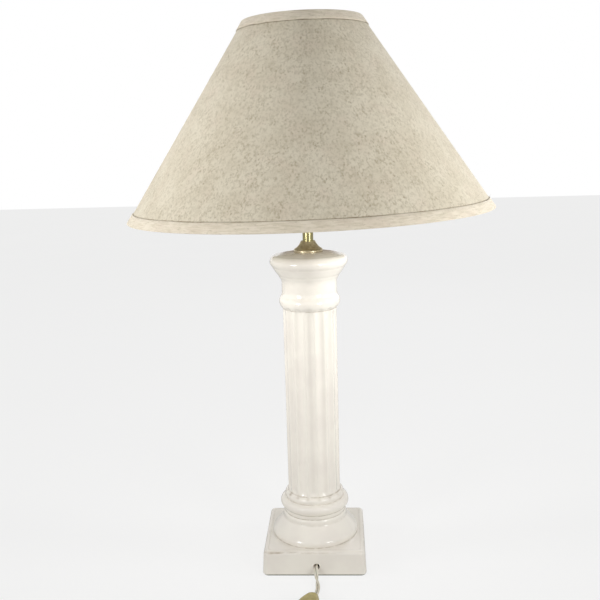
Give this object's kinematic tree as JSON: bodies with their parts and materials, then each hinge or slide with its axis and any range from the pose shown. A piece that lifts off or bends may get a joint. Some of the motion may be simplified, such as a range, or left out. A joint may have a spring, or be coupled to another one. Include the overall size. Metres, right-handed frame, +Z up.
{
  "type": "table lamp",
  "caption": "Table lamp: fluted ceramic column on a square plinth, brass neck, harp and finial with an empire shade, screw socket and bulb, cord with in-line switch.",
  "frame": {"origin": "on the table, under the column's axis, at the underside of the felt pad", "axes": "+Z up along the column, -Y towards the side where the cord leaves, +X to the right when the cord's side is faced"},
  "size_m": [0.4439, 0.5325, 0.6839],
  "materials": {
    "glazed_ceramic": "glossy cream glaze",
    "felt": "dull green felt",
    "plated_steel": "zinc plated",
    "antique_brass": "dull, aged",
    "polished_brass": "polished",
    "socket_brass": "satin",
    "insulating_paper": "pressed paper",
    "phenolic": "moulded",
    "bright_aluminium": "rolled",
    "bulb_glass": "frosted inside",
    "shade_liner": "white styrene",
    "shade_linen": "slubbed linen",
    "shade_trim": "folded linen band",
    "shade_wire": "plated wire",
    "cord_vinyl": "soft vinyl",
    "switch_plastic": "moulded",
    "steel_screw": "plated",
    "plug_plastic": "moulded",
    "contact_brass": "stamped"
  },
  "bodies": {
    "lamp_base": {"column_body": "glazed_ceramic", "felt_pad": "felt", "lamp_pipe": "plated_steel", "base_washer": "plated_steel", "lock_washer": "plated_steel", "pipe_nut": "plated_steel", "vase_cap": "antique_brass", "neck_tube": "polished_brass", "harp_saddle": "polished_brass", "socket_cap": "socket_brass", "socket_shell": "socket_brass", "socket_liner": "insulating_paper", "socket_core": "phenolic", "screw_shell": "bright_aluminium", "centre_contact": "contact_brass", "terminal_screws": "contact_brass", "switch_bottom": "switch_plastic", "switch_top": "switch_plastic", "switch_screw": "steel_screw", "switch_axle": "steel_screw", "cord_riser": "cord_vinyl", "cord_lead": "cord_vinyl", "cord_run": "cord_vinyl", "cord_coil": "cord_vinyl", "cord_tail": "cord_vinyl", "plug_body": "plug_plastic", "plug_blades": "contact_brass"},
    "harp": {"harp_bow": "polished_brass"},
    "right_ferrule": {"ferrule_right": "polished_brass"},
    "left_ferrule": {"ferrule_left": "polished_brass"},
    "stud": {"swivel_stud": "polished_brass"},
    "shade": {"shade_spider": "shade_wire", "shade_top_ring": "shade_wire", "shade_bottom_ring": "shade_wire", "shade_liner": "shade_liner", "shade_fabric": "shade_linen", "top_trim": "shade_trim", "bottom_trim": "shade_trim"},
    "top_knob": {"finial": "polished_brass"},
    "bulb": {"bulb_base": "bright_aluminium", "bulb_glass": "bulb_glass"},
    "wheel": {"switch_wheel": "switch_plastic"}
  },
  "joints": [
    {"name": "harp_lift", "type": "slide", "parent": "lamp_base", "child": "harp", "axis": [0, 0, 1], "range_m": [0, 0.025]},
    {"name": "right_ferrule_slide", "type": "slide", "parent": "harp", "child": "right_ferrule", "axis": [0, 0, 1], "range_m": [0, 0.0135]},
    {"name": "left_ferrule_slide", "type": "slide", "parent": "harp", "child": "left_ferrule", "axis": [0, 0, 1], "range_m": [0, 0.0135]},
    {"name": "shade_swivel", "type": "hinge", "parent": "harp", "child": "stud", "pos_m": [0, 0, 0.65619], "axis": [-0.0201, 0, 0.9998], "continuous": true},
    {"name": "shade_lift", "type": "slide", "parent": "stud", "child": "shade", "axis": [-0.0201, 0, 0.9998], "range_m": [0, 0.016]},
    {"name": "finial_turn", "type": "hinge", "parent": "shade", "child": "top_knob", "pos_m": [0, 0, 0.65619], "axis": [-0.0201, 0, 0.9998], "continuous": true},
    {"name": "bulb_turn", "type": "hinge", "parent": "lamp_base", "child": "bulb", "pos_m": [0, 0, 0.48], "axis": [0, 0, 1], "continuous": true},
    {"name": "switch_wheel_turn", "type": "hinge", "parent": "lamp_base", "child": "wheel", "pos_m": [-0.00235, -0.16111, 0.0095], "axis": [0, 0, 1], "continuous": true}
  ]
}
